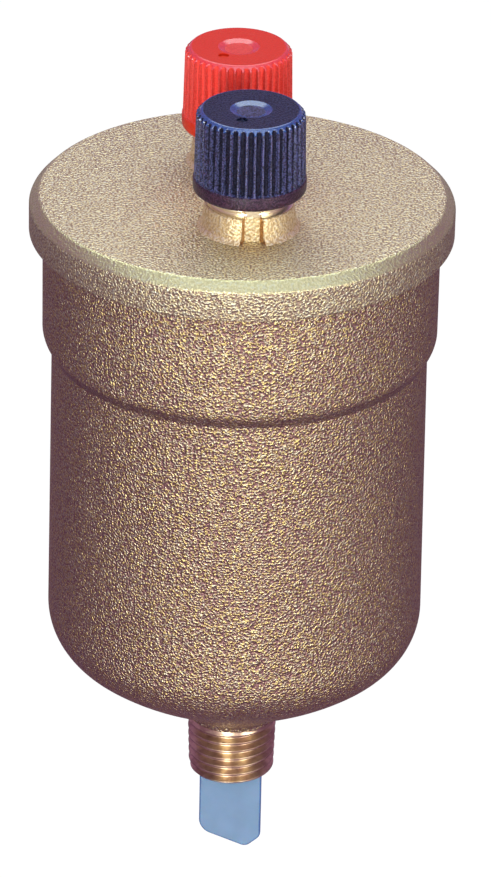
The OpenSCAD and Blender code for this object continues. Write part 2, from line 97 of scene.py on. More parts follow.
def looking_back(away, distance):
    """The placement of a camera or lamp that stands off in a direction and looks back at the valve."""
    return Matrix.Translation(AIM + away * distance) @ away.to_track_quat("Z", "Y").to_matrix().to_4x4()


def add_object(name, data):
    """Makes an object from its data and links it to the scene."""
    made = bpy.data.objects.new(name, data)
    bpy.context.scene.collection.objects.link(made)
    return made


lens = bpy.data.cameras.new("camera")
lens.lens = FOCAL_PIXELS * lens.sensor_width / PHOTO_H
lens.shift_x = (PHOTO_W / 2 - AIM_PIXEL_X) / PHOTO_H
lens.shift_y = (AIM_PIXEL_Y - PHOTO_H / 2) / PHOTO_H
camera = add_object("camera", lens)
camera.matrix_world = looking_back(direction(AZIMUTH, ELEVATION), DISTANCE) @ Matrix.Rotation(ROLL, 4, "Z")
bpy.context.scene.camera = camera
bpy.context.scene.view_settings.view_transform = "Standard"
print("lens in mm:", round(lens.lens, 1))

# %% [markdown]
# ## Shader sums
# A finish is a small sum over noise patterns. Written as nodes, such a sum is long and hard to read,
# so this class wraps a socket and lets Python's operators add the Math nodes. Its node method makes
# any node at all: first the settings, then the values or links of its sockets.

# %% Wire class
class Wire:
    """An output socket of a shader tree that can be used in sums."""

    def __init__(self, tree, socket=None):
        self.tree = tree
        self.socket = socket

    def node(self, kind, settings=None, inputs=None, output=0):
        """Adds a node, sets it, fills its sockets and returns one of its outputs."""
        made = self.tree.nodes.new(kind)
        for name, value in (settings or {}).items():
            setattr(made, name, value)
        for name, value in (inputs or {}).items():
            if isinstance(value, Wire):
                self.tree.links.new(value.socket, made.inputs[name])
            else:
                made.inputs[name].default_value = value
        return Wire(self.tree, made.outputs[output] if len(made.outputs) else None)

    def sum_of(self, operation, first, second):
        return self.node("ShaderNodeMath", {"operation": operation}, {0: first, 1: second})

    def __add__(self, other):
        return self.sum_of("ADD", self, other)

    def __rsub__(self, other):
        return self.sum_of("SUBTRACT", other, self)

    def __mul__(self, other):
        return self.sum_of("MULTIPLY", self, other)

    __radd__ = __add__


def finish(name, shader_of):
    """Makes a material from a function that is given an empty tree and returns a shader."""
    material = bpy.data.materials.new(name)
    material.use_nodes = True
    material.node_tree.nodes.clear()
    start = Wire(material.node_tree)
    start.node("ShaderNodeOutputMaterial", inputs={"Surface": shader_of(start)})
    print("finish:", name, len(material.node_tree.nodes), "nodes")
    return material


# %% [markdown]
# ## Patterns
# Every finish starts from one soft noise. It reads Object coordinates, which are metres here, so a
# scale of one over the grain size gives grains of that size on any piece. Small helpers stretch it,
# pick out a part of it, and turn it into a colour or a relief.

# %% Patterns
def place_of(wire):
    """Object coordinates, in metres."""
    return wire.node("ShaderNodeTexCoord", output="Object")


def stretched(wire, place, scales):
    """The same place with its axes scaled, for patterns that run one way."""
    return wire.node("ShaderNodeMapping", inputs={"Vector": place, "Scale": scales})


def cloud(wire, place, size, detail=2.0):
    """Soft noise from 0 to 1 with blotches of about that size."""
    return wire.node("ShaderNodeTexNoise", inputs={"Vector": place, "Scale": 1 / size, "Detail": detail})


def ramp(wire, value, low, high):
    """Stretches the part of a pattern between low and high to 0 to 1, softly."""
    settings = {"interpolation_type": "SMOOTHSTEP"}
    inputs = {"Value": value, "From Min": low, "From Max": high}
    return wire.node("ShaderNodeMapRange", settings, inputs)


def tint(wire, share, first, second):
    """Mixes two colours by a share from 0 to 1."""
    return wire.node("ShaderNodeMix", {"data_type": "RGBA"}, {0: share, 6: first, 7: second}, output=2)


def relief(wire, height, depth):
    """A normal from a height pattern whose full range is that depth."""
    return wire.node("ShaderNodeBump", inputs={"Height": height, "Distance": depth, "Strength": 1.0})


def colour(red, green, blue):
    return (red, green, blue, 1)


# %% [markdown]
# ## Cast brass
# The body and the cover are sand castings that were shot-blasted. The blasted skin is a close field
# of tiny rounded grains with dark oxide between them. One noise pattern drives both the relief
# and the colour, so that the bright tops and dark seams lie where the relief has them. A second one
# shades the grains between warm and cool, for the thin film on them. The cover and its ports were
# cast in finer moulds than the body, and the top edge of the flange is smooth. The rim of the flange
# is painted paler, as painted light, and the corner under the band and the sides of the slots are
# painted darker, as painted shade. So one function makes seven finishes.

# %% Cast brass
GRAIN_DETAIL = 0.6
GRAIN_LEVELS = (0.36, 0.62)
FILM_TO_GRAIN = 1.3
FILM_LEVELS = (0.4, 0.6)
CAST_ROUGH = 0.56
SMOOTHER_TOPS = 0.16


def cast(grain, depth, seams, warm, cool, rough=CAST_ROUGH):
    """Blasted skin with grains of a size and a depth, and the colours between and on them."""
    def shader_of(wire):
        place = place_of(wire)
        height = cloud(wire, place, grain, GRAIN_DETAIL)
        lit = ramp(wire, height, *GRAIN_LEVELS)
        film = ramp(wire, cloud(wire, place, grain * FILM_TO_GRAIN, detail=1), *FILM_LEVELS)
        skin = tint(wire, film, colour(*warm), colour(*cool))
        return wire.node("ShaderNodeBsdfPrincipled", inputs={
            "Base Color": tint(wire, lit, colour(*seams), skin),
            "Metallic": 1.0,
            "Roughness": rough - lit * SMOOTHER_TOPS,
            "Normal": relief(wire, height, depth),
        })
    return shader_of


CAST = finish("cast_brass", cast(
    grain=0.32 * MM, depth=0.41 * MM,
    seams=(0.25, 0.14, 0.13), warm=(0.55, 0.45, 0.16), cool=(0.48, 0.45, 0.30)))
COVER_CAST = finish("fine_cast_brass", cast(
    grain=0.34 * MM, depth=0.30 * MM,
    seams=(0.36, 0.28, 0.18), warm=(0.75, 0.66, 0.36), cool=(0.68, 0.66, 0.48)))
PORT_CAST = finish("port_cast_brass", cast(
    grain=0.34 * MM, depth=0.14 * MM, rough=0.70,
    seams=(0.56, 0.43, 0.22), warm=(0.76, 0.64, 0.36), cool=(0.73, 0.66, 0.45)))
# Painted shade: the leaning sides of the vent slots are painted darker than the boss.
SLOT_SHADE_CAST = finish("slot_painted_shade_brass", cast(
    grain=0.34 * MM, depth=0.10 * MM,
    seams=(0.42, 0.23, 0.09), warm=(0.63, 0.38, 0.16), cool=(0.57, 0.38, 0.20)))
# Painted light: the rim of the flange is painted paler for the light from above that it catches.
RIM_LIT_CAST = finish("rim_painted_light_brass", cast(
    grain=0.32 * MM, depth=0.34 * MM, rough=0.62,
    seams=(0.30, 0.22, 0.16), warm=(0.59, 0.53, 0.27), cool=(0.53, 0.53, 0.37)))
STRIP = finish("strip_cast_brass", cast(
    grain=0.30 * MM, depth=0.10 * MM, rough=0.5,
    seams=(0.46, 0.44, 0.23), warm=(0.57, 0.54, 0.28), cool=(0.52, 0.52, 0.32)))
# Painted shade: the slope under the band is painted darker than the rest of the body.
CORNER_SHADE_CAST = finish("corner_painted_shade_brass", cast(
    grain=0.32 * MM, depth=0.41 * MM,
    seams=(0.19, 0.10, 0.11), warm=(0.38, 0.29, 0.14), cool=(0.33, 0.29, 0.24)))

# %% [markdown]
# ## Machined brass
# The inlet thread and the stems of the ports are turned on a lathe. The tool leaves fine rings, which
# are noise squeezed flat along the axis of turning. The inlet has tarnished brown. The stems are paler,
# partly as fresh turned brass and partly as painted light that lifts them out of the caps' shade.

# %% Machined brass
TURNED_LINE = 0.12 * MM
TURNED_DEPTH = 0.012 * MM
ROUND_THE_AXIS = (0.02, 0.02, 1)
TURNED_ROUGH = 0.28
STAIN_SIZE = 2.4 * MM
STAIN_LEVELS = (0.35, 0.7)
STAIN_ROUGH = 0.1


def turned(clean, stained):
    """Brass with fine rings round Z and blotches of tarnish."""
    def shader_of(wire):
        place = place_of(wire)
        rings = cloud(wire, stretched(wire, place, ROUND_THE_AXIS), TURNED_LINE)
        stain = ramp(wire, cloud(wire, place, STAIN_SIZE, detail=3), *STAIN_LEVELS)
        return wire.node("ShaderNodeBsdfPrincipled", inputs={
            "Base Color": tint(wire, stain, colour(*clean), colour(*stained)),
            "Metallic": 1.0,
            "Roughness": TURNED_ROUGH + stain * STAIN_ROUGH,
            "Normal": relief(wire, rings, TURNED_DEPTH),
        })
    return shader_of


MACHINED = finish("machined_brass", turned(clean=(0.69, 0.56, 0.35), stained=(0.40, 0.27, 0.19)))
# Painted light: the stems are paler partly as fresh brass and partly to lift them out of the caps' shade.
STEM_LIT_BRASS = finish("stem_brass_painted_light", turned(clean=(0.90, 0.82, 0.62), stained=(0.84, 0.74, 0.52)))

# %% [markdown]
# ## Moulded plastics
# The caps are moulded plastic. A real moulding is never mirror smooth: it has a faint orange peel,
# which is coarser where the mould was spark-eroded. A cap has a satin top, a polished shoulder, grainy
# ribs paler than the top, flutes between them and a rim. On the dark cap the shoulder also carries a
# painted highlight and the flutes are painted shade; the red cap's flutes are painted light that evens
# out their shade. The flecks are the tops of the peel, and the sheen is how strongly the surface mirrors.

# %% Cap plastics
PEEL = 0.28 * MM
PEEL_ROUGH = 0.1
FLECK_LEVELS = (0.4, 0.62)
GLOW = 0.3
CAP_GLOW_REACH = 0.5 * MM


def moulded(base, flecks, rough, sheen, peel_depth):
    """Plastic with an orange peel of that depth."""
    def shader_of(wire):
        peel = cloud(wire, place_of(wire), PEEL, detail=1)
        return wire.node("ShaderNodeBsdfPrincipled", inputs={
            "Base Color": tint(wire, ramp(wire, peel, *FLECK_LEVELS), colour(*base), colour(*flecks)),
            "Roughness": rough + peel * PEEL_ROUGH,
            "Specular IOR Level": sheen,
            "Subsurface Weight": GLOW,
            "Subsurface Scale": CAP_GLOW_REACH,
            "Normal": relief(wire, peel, peel_depth),
        })
    return shader_of


DARK_CAP = finish("dark_cap_plastic", moulded(
    base=(0.003, 0.005, 0.014), flecks=(0.028, 0.036, 0.078), rough=0.25, sheen=0.13, peel_depth=0.10 * MM))
DARK_RIM = finish("dark_cap_rim", moulded(
    base=(0.014, 0.005, 0.013), flecks=(0.050, 0.022, 0.042), rough=0.35, sheen=0.3, peel_depth=0.08 * MM))
# Painted highlight: a bright blue base on the shoulder and dish wall, on top of their real polish.
DARK_SHOULDER_LIT = finish("dark_cap_shoulder_painted_highlight", moulded(
    base=(0.012, 0.045, 0.15), flecks=(0.024, 0.068, 0.21), rough=0.1, sheen=1.0, peel_depth=0.01 * MM))
DARK_RIBS = finish("dark_cap_ribs", moulded(
    base=(0.007, 0.007, 0.022), flecks=(0.062, 0.069, 0.168), rough=0.4, sheen=0.4, peel_depth=0.10 * MM))
# Painted shade: the dark cap's flutes are painted darker than its ribs.
DARK_FLUTES_SHADED = finish("dark_cap_flutes_painted_shade", moulded(
    base=(0.004, 0.004, 0.010), flecks=(0.016, 0.016, 0.034), rough=0.6, sheen=0.1, peel_depth=0.02 * MM))
RED_CAP = finish("red_cap_plastic", moulded(
    base=(0.54, 0.030, 0.008), flecks=(0.60, 0.036, 0.012), rough=0.3, sheen=0.2, peel_depth=0.05 * MM))
RED_EDGE = finish("red_cap_shoulder", moulded(
    base=(0.58, 0.04, 0.04), flecks=(0.62, 0.05, 0.05), rough=0.1, sheen=0.8, peel_depth=0.01 * MM))
RED_RIBS = finish("red_cap_ribs", moulded(
    base=(0.56, 0.042, 0.026), flecks=(0.66, 0.060, 0.045), rough=0.45, sheen=0.3, peel_depth=0.06 * MM))
# Painted light: the red cap's flutes are painted paler than its ribs, to even out their shade.
RED_FLUTES_LIT = finish("red_cap_flutes_painted_light", moulded(
    base=(0.74, 0.052, 0.034), flecks=(0.82, 0.068, 0.047), rough=0.5, sheen=0.2, peel_depth=0.03 * MM))

# %% [markdown]
# ## The small finishes
# The rest of the pieces sit inside, and show only when the valve is opened on a bench. Each still
# gets what its material has: a dusty bloom on rubber, brushing on sheet steel, a cloudy float.

# %% Rubber, fibre and float plastic
BLOOM_LEVELS = (0.35, 0.75)
BLOOM_DEPTH = 0.015 * MM
BLOOM_ROUGH = 0.25
MATT_ROUGH = 0.55


def matt(base, bloom, size):
    """A dull surface with a dusty bloom in blotches of that size."""
    def shader_of(wire):
        dust = ramp(wire, cloud(wire, place_of(wire), size, detail=4), *BLOOM_LEVELS)
        return wire.node("ShaderNodeBsdfPrincipled", inputs={
            "Base Color": tint(wire, dust, colour(*base), colour(*bloom)),
            "Roughness": MATT_ROUGH + dust * BLOOM_ROUGH,
            "Normal": relief(wire, dust, BLOOM_DEPTH),
        })
    return shader_of


RUBBER = finish("black_rubber", matt((0.014, 0.014, 0.015), (0.035, 0.034, 0.033), size=1.2 * MM))
FIBRE = finish("fibre_red", matt((0.30, 0.045, 0.035), (0.42, 0.09, 0.07), size=0.4 * MM))
FLOAT = finish("float_plastic", matt((0.72, 0.70, 0.62), (0.80, 0.78, 0.72), size=5 * MM))

# %% Sheet steel
BRUSH_LINE = 0.15 * MM
BRUSH_DEPTH = 0.01 * MM
ALONG_Y = (1, 0.04, 1)
STEEL_ROUGH = 0.24
BRUSH_ROUGH = 0.2


def brushed_steel(wire):
    lines = cloud(wire, stretched(wire, place_of(wire), ALONG_Y), BRUSH_LINE, detail=3)
    return wire.node("ShaderNodeBsdfPrincipled", inputs={
        "Base Color": tint(wire, lines, colour(0.50, 0.50, 0.51), colour(0.66, 0.66, 0.67)),
        "Metallic": 1.0,
        "Roughness": STEEL_ROUGH + lines * BRUSH_ROUGH,
        "Normal": relief(wire, lines, BRUSH_DEPTH),
    })


STEEL = finish("stainless_sheet", brushed_steel)

# %% [markdown]
# ## Tongue plastic
# The drain tongue is a strip of pale blue plastic that lets some light through. Subsurface
# scattering gives that soft, even glow without making the strip see-through. Light that has run
# along inside the sheet leaves by its cut edges, so these are a deeper blue.

# %% Tongue plastic
HAZE_SIZE = 4 * MM
HAZE_LEVELS = (0.3, 0.7)
HAZE_DEPTH = 0.01 * MM
HAZE_ROUGH = 0.1
SHEET_ROUGH = 0.3
SHEET_GLOW_REACH = 0.4 * MM


def tinted_sheet(base, hazy):
    """Clouded plastic sheet that glows a little from inside."""
    def shader_of(wire):
        haze = ramp(wire, cloud(wire, place_of(wire), HAZE_SIZE, detail=3), *HAZE_LEVELS)
        return wire.node("ShaderNodeBsdfPrincipled", inputs={
            "Base Color": tint(wire, haze, colour(*base), colour(*hazy)),
            "Roughness": SHEET_ROUGH + haze * HAZE_ROUGH,
            "Subsurface Weight": GLOW,
            "Subsurface Scale": SHEET_GLOW_REACH,
            "Normal": relief(wire, haze, HAZE_DEPTH),
        })
    return shader_of


TONGUE = finish("tongue_plastic", tinted_sheet(base=(0.16, 0.275, 0.375), hazy=(0.177, 0.296, 0.41)))
TONGUE_RIM = finish("tongue_edge", tinted_sheet(base=(0.06, 0.14, 0.29), hazy=(0.07, 0.16, 0.32)))

# %% [markdown]
# ## Turning on the lathe
# Most pieces of a valve are turned or cast round, so one helper draws half of a section and spins
# it. The section is a line through its corners in the XZ plane. A vertex bevel rounds
# each corner by its own amount before the spin, which is simpler than bevelling the finished rings.
# The spin is done in two goes, first one sector in fine steps and then copies of that sector all
# round. That gives the same mesh as one long spin in a tenth of the time.

# %% Lathe
LATHE_STEPS = 192
SECTORS = 12
ROUND_STEPS = 6
ARC_STEPS = 16
MERGE = 0.0005 * MM


def everything(bm):
    return bm.verts[:] + bm.edges[:] + bm.faces[:]


def round_corners(bm, points, corners):
    """Rounds each point of an outline by the last number of its corner."""
    for point, (across, height, rounding) in zip(points, corners):
        if rounding:
            bmesh.ops.bevel(bm, geom=[point], offset=rounding, offset_type="OFFSET", affect="VERTICES",
                            segments=ROUND_STEPS, profile=0.5, material=-1)


def section(corners):
    """A line through (radius, height, rounding) corners in the XZ plane."""
    bm = bmesh.new()
    points = [bm.verts.new((radius, 0, height)) for radius, height, rounding in corners]
    for pair in zip(points, points[1:]):
        bm.edges.new(pair)
    round_corners(bm, points, corners)
    return bm


def arc(radius_at, height_at, size, start, end):
    """Section corners along an arc round (radius_at, height_at), with angles in radians."""
    angles = [start + (end - start) * i / ARC_STEPS for i in range(ARC_STEPS + 1)]
    return [(radius_at + size * math.cos(a), height_at + size * math.sin(a), 0) for a in angles]


def turn(bm, steps=LATHE_STEPS, climb=0.0):
    """Spins a section one full turn round Z and welds its seams; climb is the rise of the turn."""
    sector = FULL_TURN / SECTORS
    bmesh.ops.spin(bm, geom=everything(bm), axis=(0, 0, 1), angle=sector,
                   steps=steps // SECTORS, dvec=(0, 0, climb / steps))
    bmesh.ops.spin(bm, geom=everything(bm), axis=(0, 0, 1), angle=FULL_TURN - sector,
                   steps=SECTORS - 1, dvec=(0, 0, climb / SECTORS), use_duplicate=True)
    bmesh.ops.remove_doubles(bm, verts=bm.verts, dist=MERGE)
    bmesh.ops.recalc_face_normals(bm, faces=bm.faces)
    return bm


# %% [markdown]
# ## Handing a piece over
# A face's material index says which of its piece's finishes it has. Most pieces have a small function
# that finds this from the middle of a face. The finished piece then rides on its body, so that it
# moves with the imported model, and takes the place of the plain node it stands for.

# %% Finished pieces
CREASE = math.radians(35)


def paint(bm, zone_of):
    """Gives each face the finish of the zone that its middle lies in."""
    for face in bm.faces:
        face.material_index = zone_of(face.calc_center_median())


def mesh_of(name, bm, materials):
    """Turns a bmesh into a mesh with its finishes."""
    mesh = bpy.data.meshes.new(name)
    bm.to_mesh(mesh)
    bm.free()
    for material in materials:
        mesh.materials.append(material)
    return mesh


def hand_over(name, bm, body, materials, stands_for=()):
    """Makes the finished piece and lets it ride on its body."""
    open_edges = sum(edge.is_boundary for edge in bm.edges)
    mesh = mesh_of(name, bm, materials)
    mesh.shade_smooth()
    mesh.set_sharp_from_angle(angle=CREASE)
    made = add_object(name, mesh)
    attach(made, body)
    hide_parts(*stands_for)
    print(name, len(mesh.polygons), "faces,", open_edges, "open edges")


# %% [markdown]
# ## Cutting a thread
# A screw thread is the same section again, but the spin also climbs: each step lifts it, and after
# one turn every tooth meets the next one. The ends of such a spiral are ragged, so the
# teeth start early and end late, and two flat cuts trim them.

# %% Thread
THREAD_STEPS = 120
TOOTH_ROOT = 0.12
TOOTH_TIP = 0.18
TOOTH_ROUND = 0.07 * MM


def thread(crest, depth, pitch, low, high):
    """An open screw surface between two heights; crest is the radius at the tips of its teeth."""
    flank = (1 - TOOTH_ROOT - TOOTH_TIP) / 2
    first = math.floor(low / pitch) - 2
    last = math.ceil(high / pitch) + 1
    corners = []
    for tooth in range(first, last):
        foot = tooth * pitch
        corners.append((crest - depth, foot, TOOTH_ROUND))
        corners.append((crest - depth, foot + TOOTH_ROOT * pitch, TOOTH_ROUND))
        corners.append((crest, foot + (TOOTH_ROOT + flank) * pitch, TOOTH_ROUND))
        corners.append((crest, foot + (TOOTH_ROOT + flank + TOOTH_TIP) * pitch, TOOTH_ROUND))
    corners[0] = corners[0][:2] + (0,)
    corners[-1] = corners[-1][:2] + (0,)
    return turn(section(corners), THREAD_STEPS, climb=pitch)


def trim(bm, low, high):
    """Cuts a mesh off level below low and above high."""
    for height, side in ((low, -1), (high, 1)):
        bmesh.ops.bisect_plane(bm, geom=everything(bm), dist=MERGE, plane_co=(0, 0, height),
                               plane_no=(0, 0, side), clear_outer=True)


def set_radius(vert, radius):
    """Moves a vertex straight in or out to a radius from the Z axis."""
    vert.co.xy = vert.co.xy.normalized() * radius


# %% Joining two skins
GAP_AT_BRIDGE = 0.05 * MM


def add_mesh(bm, other):
    """Puts a copy of another bmesh into this one."""
    carrier = bpy.data.meshes.new("carrier")
    other.to_mesh(carrier)
    other.free()
    bm.from_mesh(carrier)
    bpy.data.meshes.remove(carrier)


def bridge_rims(bm, *heights):
    """Closes the gap between the open rims that lie at these heights."""
    open_edges = [edge for edge in bm.edges if edge.is_boundary]
    rims = []
    for height in heights:
        rims += [edge for edge in open_edges if all(abs(vert.co.z - height) < MERGE for vert in edge.verts)]
    bmesh.ops.bridge_loops(bm, edges=rims)


# %% [markdown]
# ## Body
# The body is a cup with a domed bottom and a thick band round its mouth. A short cone under the dome
# leads to a nipple with a tapering pipe thread of 18 turns to the inch. The shell and the thread are
# made apart and then bridged at both ends, so the body stays one closed skin.

# %% Body sizes
body_low, body_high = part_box("body")
BAND_R = body_high.x
SEAM_Z = body_high.z
NIPPLE_Z = body_low.z
BAND_STEP = 1.4 * MM
BAND_LEN = 18.9 * MM
BAND_SLOPE = 2.2 * MM
BAND_ROUND = 0.87 * MM
BARREL_TAPER = 0.4 * MM
BARREL_LEN = 43.8 * MM
KNUCKLE_R = 9.5 * MM
CROWN_R = 40 * MM
WALL = 3.2 * MM
MOUTH_WALL = 2.7 * MM
MOUTH_DEPTH = 13 * MM
BORE_R = 5.1 * MM
NECK_R = 6.9 * MM
NECK_FLARE = 0.2 * MM
NECK_LEN = 0.8 * MM
CONE_R = 14.45 * MM
EDGE = 0.35 * MM
CAST_EDGE = 0.25 * MM

barrel_top_r = BAND_R - BAND_STEP
body_r = barrel_top_r + BARREL_TAPER
chamber_r = barrel_top_r - WALL
mouth_r = BAND_R - MOUTH_WALL
band_z = SEAM_Z - BAND_LEN
mouth_z = SEAM_Z - MOUTH_DEPTH
dome_z = band_z - BARREL_LEN
knuckle_axis = body_r - KNUCKLE_R
crown_z = dome_z + math.sqrt((CROWN_R - KNUCKLE_R) ** 2 - knuckle_axis ** 2)
dome_angle = math.atan2(dome_z - crown_z, knuckle_axis)
cone_angle = math.asin(CONE_R / CROWN_R) - math.pi / 2
bore_angle = math.asin(BORE_R / (CROWN_R - WALL)) - math.pi / 2
print("dome starts at", round(dome_z / MM, 2), "mm and the band at", round(band_z / MM, 2), "mm")

# %% Inlet thread
PIPE_PITCH = 25.4 * MM / 18
PIPE_TAPER = 1 / 32
PIPE_DEPTH = 0.85 * MM
PIPE_END_R = 6.6 * MM
PIPE_LEN = 9.8 * MM
PIPE_END_FACE_R = 5.6 * MM
PIPE_CHAMFER_R = 6.0 * MM
thread_z = NIPPLE_Z + PIPE_LEN
print("turns of the inlet thread:", round(PIPE_LEN / PIPE_PITCH, 1))


def inlet_thread():
    """The pipe thread with its taper, its run-out at the top and the chamfer at the nipple's end."""
    bm = thread(PIPE_END_R, PIPE_DEPTH, PIPE_PITCH, NIPPLE_Z, thread_z)
    for vert in bm.verts:
        up = vert.co.z - NIPPLE_Z
        crest = PIPE_END_R + up * PIPE_TAPER
        radius = vert.co.xy.length + up * PIPE_TAPER
        run_out = min(max((vert.co.z - thread_z + PIPE_PITCH) / PIPE_PITCH, 0), 1)
        radius += (crest - radius) * run_out ** 2
        set_radius(vert, min(radius, PIPE_CHAMFER_R + max(up, 0)))
    trim(bm, NIPPLE_Z, thread_z)
    return bm


# %% Body mesh
SKIN, TURNED, CORNER = range(3)


def body_shell():
    """The skin of the body outside and inside, open where the inlet thread goes."""
    outside = [(NECK_R, thread_z + GAP_AT_BRIDGE, 0), (NECK_R + NECK_FLARE, thread_z + NECK_LEN, CAST_EDGE)]
    outside += arc(0, crown_z, CROWN_R, cone_angle, dome_angle)
    outside += arc(knuckle_axis, dome_z, KNUCKLE_R, dome_angle, 0)
    outside += [(barrel_top_r, band_z, CAST_EDGE), (BAND_R, band_z + BAND_SLOPE, BAND_ROUND)]
    outside += [(BAND_R, SEAM_Z, EDGE)]
    inside = [(mouth_r, SEAM_Z, EDGE), (mouth_r, mouth_z, 0), (chamber_r, mouth_z - mouth_r + chamber_r, 0)]
    inside += arc(knuckle_axis, dome_z, KNUCKLE_R - WALL, 0, dome_angle)
    inside += arc(0, crown_z, CROWN_R - WALL, dome_angle, bore_angle)
    inside += [(BORE_R, NIPPLE_Z, EDGE / 2), (PIPE_END_FACE_R, NIPPLE_Z, 0)]
    return turn(section(outside + inside))


def body_zone(middle):
    """The corner, the slope under the band, gets painted shade; the thread, the nipple's end and the bore are
    turned.
    """
    radius = middle.xy.length
    if band_z < middle.z < band_z + BAND_SLOPE - BAND_ROUND / 2 and radius > chamber_r + WALL / 2:
        return CORNER
    return TURNED if middle.z < thread_z or radius < BORE_R else SKIN


body_mesh = body_shell()
add_mesh(body_mesh, inlet_thread())
bridge_rims(body_mesh, thread_z, thread_z + GAP_AT_BRIDGE)
bridge_rims(body_mesh, NIPPLE_Z)
bmesh.ops.recalc_face_normals(body_mesh, faces=body_mesh.faces)
paint(body_mesh, body_zone)
hand_over("body_casting", body_mesh, "housing", [CAST, MACHINED, CORNER_SHADE_CAST], ["body"])

# %% [markdown]
# ## Cover
# The cover screws into the mouth of the body. Its flange overhangs the band, and its top edge has a
# smooth chamfer, which catches the light as one bright strip. Below the flange it has a skirt
# with a groove for the O-ring. All of that is round, so it is one more section for the lathe. The
# top, the chamfer and the rim below it each have their own finish; the rim's is painted paler, as painted
# light.

# %% Cover sizes
cover_low, cover_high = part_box("cover")
ring_low, ring_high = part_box("cover_oring")
COVER_R = cover_high.x
FLANGE_H = 6 * MM
CHAMFER = 1.5 * MM
CHAMFER_ROUND = 0.4 * MM
PLATE = 4 * MM
SKIRT_GAP = 0.1 * MM
SKIRT_WALL = 3.8 * MM
GROOVE_GAP = 0.03 * MM
cover_z = SEAM_Z + FLANGE_H
under_z = cover_z - PLATE
chamfer_z = cover_z - CHAMFER
skirt_r = mouth_r - SKIRT_GAP
groove_r = skirt_r - (ring_high.z - ring_low.z) - GROOVE_GAP
print("cover top at", round(cover_z / MM, 2), "mm")

# %% Cover mesh
PLATE_TOP, CHAMFERED, BELOW = range(3)


def cover_plate():
    return turn(section([
        (0, cover_z, 0),
        (COVER_R - CHAMFER, cover_z, CHAMFER_ROUND),
        (COVER_R, chamfer_z, CHAMFER_ROUND),
        (COVER_R, SEAM_Z, CAST_EDGE),
        (skirt_r, SEAM_Z, 0),
        (skirt_r, ring_high.z + GROOVE_GAP, 0),
        (groove_r, ring_high.z + GROOVE_GAP, 0),
        (groove_r, ring_low.z - GROOVE_GAP, 0),
        (skirt_r, ring_low.z - GROOVE_GAP, 0),
        (skirt_r, cover_low.z, EDGE),
        (skirt_r - SKIRT_WALL, cover_low.z, EDGE),
        (skirt_r - SKIRT_WALL, under_z, EDGE),
        (0, under_z, 0),
    ]))


def cover_zone(middle):
    if middle.z > chamfer_z and middle.xy.length > COVER_R - CHAMFER:
        return CHAMFERED
    return BELOW if middle.z < chamfer_z else PLATE_TOP


cover_mesh = cover_plate()
paint(cover_mesh, cover_zone)
hand_over("cover_casting", cover_mesh, "housing", [COVER_CAST, STRIP, RIM_LIT_CAST], ["cover"])

# %% [markdown]
# ## Vent ports
# Each port is a cast boss with a threaded stem for its cap. A vent slot runs down the outer side
# through thread and boss, and its sides lean outwards. Flat cuts mark where its edges lie, and then
# everything that stands proud of the slot's floor and sides is pressed back to them.

# %% Port sizes
cap_low, cap_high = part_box("vent_cap")
PORT_Y = -(cap_low.y + cap_high.y) / 2
BOSS_BASE_R = 7 * MM
BOSS_TOP_R = 6.6 * MM
BOSS_H = 3.9 * MM
BOSS_EDGE = 0.3 * MM
BOSS_FILLET = 0.6 * MM
BOSS_SEAT = 0.1 * MM
STEM_R = 6.5 * MM
STEM_PITCH = 1.5 * MM
STEM_DEPTH = 0.75 * MM
STEM_CHAMFER = 0.6 * MM
VENT_R = 1.5 * MM
boss_z = cover_z + BOSS_H
stem_z = cover_high.z
print("stems are", round((stem_z - boss_z) / MM, 2), "mm long")


# %% Port mesh
def stem_thread():
    """The thread of a port, chamfered at its top."""
    bm = thread(STEM_R, STEM_DEPTH, STEM_PITCH, boss_z, stem_z)
    for vert in bm.verts:
        lead_in = STEM_R - STEM_CHAMFER + max(stem_z - vert.co.z, 0)
        set_radius(vert, min(vert.co.xy.length, lead_in))
    trim(bm, boss_z + GAP_AT_BRIDGE, stem_z)
    return bm


def port_post():
    """An upright port on the Z axis, before its slot is cut."""
    root = STEM_R - STEM_DEPTH
    bm = turn(section([
        (root, boss_z, 0),
        (BOSS_TOP_R, boss_z, BOSS_EDGE),
        (BOSS_BASE_R, cover_z + BOSS_FILLET, BOSS_FILLET / 2),
        (BOSS_BASE_R + BOSS_FILLET, cover_z, 0),
        (BOSS_BASE_R + BOSS_FILLET, cover_z - BOSS_SEAT, 0),
        (VENT_R, cover_z - BOSS_SEAT, 0),
        (VENT_R, stem_z, 0),
        (root - STEM_CHAMFER, stem_z, 0),
    ]), THREAD_STEPS)
    add_mesh(bm, stem_thread())
    bridge_rims(bm, boss_z, boss_z + GAP_AT_BRIDGE)
    bridge_rims(bm, stem_z)
    bmesh.ops.recalc_face_normals(bm, faces=bm.faces)
    return bm


# %% Vent slot
SLOT_HALF = 1.1 * MM
SLOT_FLOOR = 5.7 * MM
SLOT_LEAN = math.tan(math.radians(30))
ON_SIDE = 0.03 * MM
STEM, BOSS, SLOT_SIDE = range(3)


def cut_slot(bm):
    """Cuts the vent slot into the -Y side of a port."""
    for depth in (0, STEM_R - SLOT_FLOOR, BOSS_TOP_R - SLOT_FLOOR, BOSS_BASE_R - SLOT_FLOOR):
        for side in (-1, 1):
            bmesh.ops.bisect_plane(bm, geom=everything(bm), dist=MERGE, plane_no=(side, 0, 0),
                                   plane_co=(side * (SLOT_HALF + depth * SLOT_LEAN), 0, 0))
    for vert in bm.verts:
        if vert.co.z > cover_z - MERGE:
            outside = max(abs(vert.co.x) - SLOT_HALF, 0) / SLOT_LEAN
            vert.co.y = max(vert.co.y, -SLOT_FLOOR - outside)


